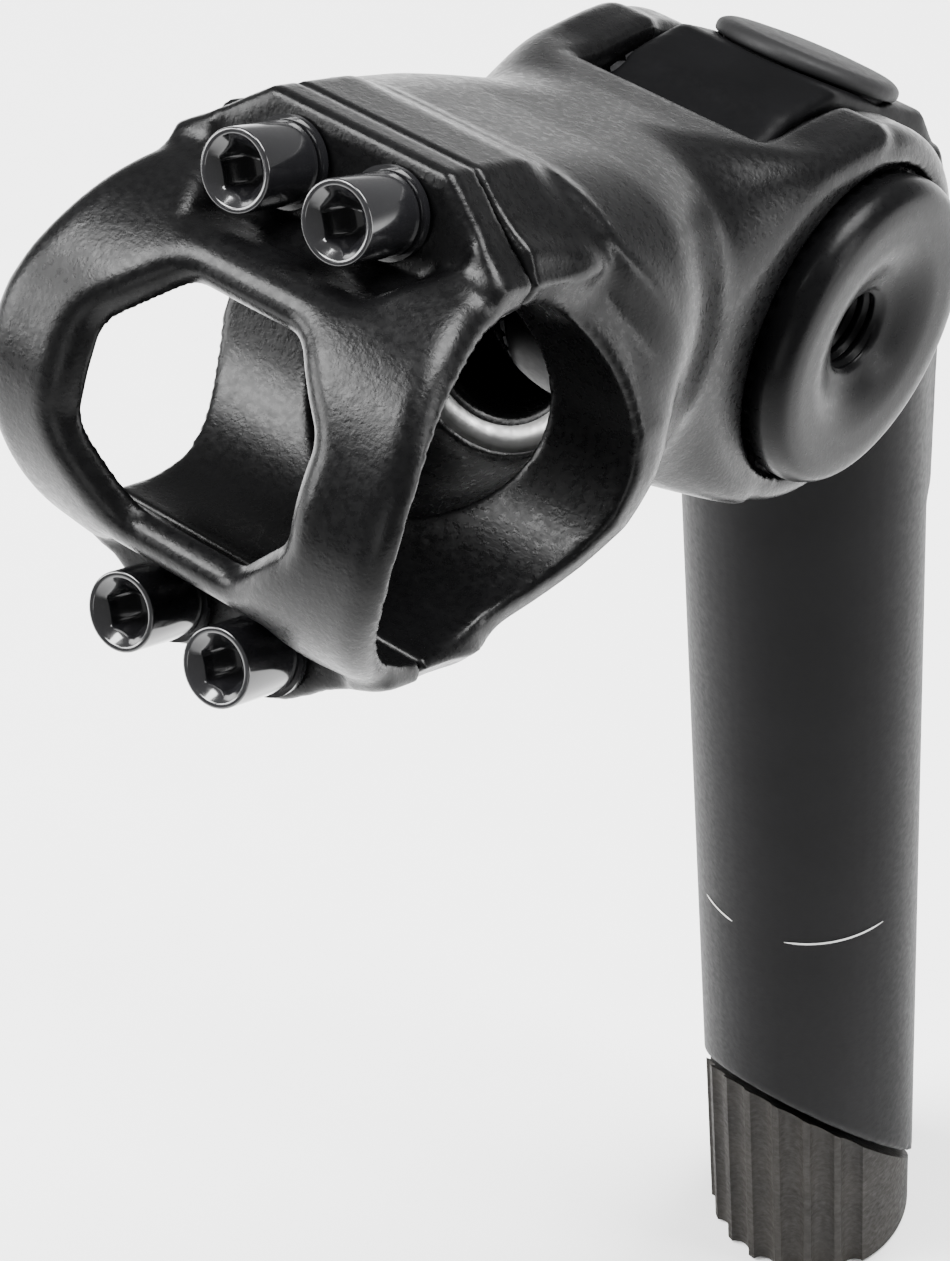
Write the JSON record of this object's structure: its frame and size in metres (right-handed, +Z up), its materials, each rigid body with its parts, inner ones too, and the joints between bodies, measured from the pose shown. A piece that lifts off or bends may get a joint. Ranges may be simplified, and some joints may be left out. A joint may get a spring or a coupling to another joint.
{
  "type": "handlebar stem",
  "caption": "Adjustable quill stem: round quill with an expander wedge, toothed tilt pivot, short hollow arm and a bar clamp with a removable windowed faceplate.",
  "frame": {"origin": "on the quill's axis at the minimum-insertion line", "axes": "+Z up along the quill towards the pivot; the arm reaches forward along -Y; +X is the side of the threaded pivot disc"},
  "size_m": [0.0448, 0.1041, 0.225],
  "materials": {
    "arm_paint": "satin black paint with fine orange peel",
    "quill_paint": "matte black",
    "disc_paint": "satin black",
    "black_steel": "gloss black oxide",
    "ring_steel": "dark hardened steel",
    "wedge_cast": "matte as-cast",
    "cap_rubber": "matte"
  },
  "bodies": {
    "quill": {"quill_shaft": "quill_paint", "toothed_ring_right": "ring_steel", "toothed_ring_left": "ring_steel", "pivot_bush": "ring_steel", "expander_washer": "black_steel"},
    "expander_bolt": {"expander_bolt": "black_steel"},
    "wedge": {"expander_wedge": "wedge_cast"},
    "cap": {"expander_cap": "cap_rubber"},
    "arm": {"stem_arm": "arm_paint", "pivot_disc_right": "disc_paint"},
    "left_disc": {"pivot_disc_left": "disc_paint", "pivot_washer": "black_steel"},
    "pivot_bolt": {"pivot_bolt": "black_steel"},
    "faceplate": {"faceplate": "arm_paint", "faceplate_washer_upper_right": "black_steel", "faceplate_washer_upper_left": "black_steel", "faceplate_washer_lower_right": "black_steel", "faceplate_washer_lower_left": "black_steel"},
    "bolt_upper_right": {"faceplate_bolt_upper_right": "black_steel"},
    "bolt_upper_left": {"faceplate_bolt_upper_left": "black_steel"},
    "bolt_lower_right": {"faceplate_bolt_lower_right": "black_steel"},
    "bolt_lower_left": {"faceplate_bolt_lower_left": "black_steel"}
  },
  "joints": [
    {"name": "arm_tilt", "type": "hinge", "parent": "quill", "child": "arm", "pos_m": [0, -0.0166, 0.1077], "axis": [-1, 0, 0], "range_deg": [-40.5, 29.5]},
    {"name": "pivot_disc_slide", "type": "slide", "parent": "arm", "child": "left_disc", "axis": [-1, 0, 0], "range_m": [0, 0.003]},
    {"name": "pivot_bolt_spin", "type": "hinge", "parent": "left_disc", "child": "pivot_bolt", "pos_m": [0, -0.0166, 0.1077], "axis": [-1, 0, 0], "range_deg": [0, 864]},
    {"name": "faceplate_slide", "type": "slide", "parent": "arm", "child": "faceplate", "axis": [0, -0.8616, 0.5075], "range_m": [0, 0.004]},
    {"name": "faceplate_bolt_upper_right_spin", "type": "hinge", "parent": "faceplate", "child": "bolt_upper_right", "pos_m": [0.0053, -0.06155, 0.14961], "axis": [0, -0.8616, 0.5075], "range_deg": [0, 1800]},
    {"name": "faceplate_bolt_upper_left_spin", "type": "hinge", "parent": "faceplate", "child": "bolt_upper_left", "pos_m": [-0.0053, -0.06155, 0.14961], "axis": [0, -0.8616, 0.5075], "range_deg": [0, 1800]},
    {"name": "faceplate_bolt_lower_right_spin", "type": "hinge", "parent": "faceplate", "child": "bolt_lower_right", "pos_m": [0.0053, -0.08175, 0.11532], "axis": [0, -0.8616, 0.5075], "range_deg": [0, 1800]},
    {"name": "faceplate_bolt_lower_left_spin", "type": "hinge", "parent": "faceplate", "child": "bolt_lower_left", "pos_m": [-0.0053, -0.08175, 0.11532], "axis": [0, -0.8616, 0.5075], "range_deg": [0, 1800]},
    {"name": "expander_bolt_spin", "type": "hinge", "parent": "quill", "child": "expander_bolt", "pos_m": [0, 0, 0.0916], "axis": [0, 0, 1], "range_deg": [-360, 2160]},
    {"name": "wedge_slide", "type": "slide", "parent": "quill", "child": "wedge", "axis": [0, 0, -1], "range_m": [-0.00125, 0.0075]},
    {"name": "cap_pull", "type": "slide", "parent": "quill", "child": "cap", "axis": [0, 0.6691, 0.7431], "range_m": [0, 0.012]}
  ],
  "couplings": [
    {"joint": "pivot_bolt_spin", "follows": "pivot_disc_slide", "rad_per_m": 5026.5},
    {"joint": "faceplate_bolt_upper_right_spin", "follows": "faceplate_slide", "rad_per_m": 7854},
    {"joint": "faceplate_bolt_upper_left_spin", "follows": "faceplate_slide", "rad_per_m": 7854},
    {"joint": "faceplate_bolt_lower_right_spin", "follows": "faceplate_slide", "rad_per_m": 7854},
    {"joint": "faceplate_bolt_lower_left_spin", "follows": "faceplate_slide", "rad_per_m": 7854},
    {"joint": "expander_bolt_spin", "follows": "wedge_slide", "rad_per_m": 5026.5}
  ]
}
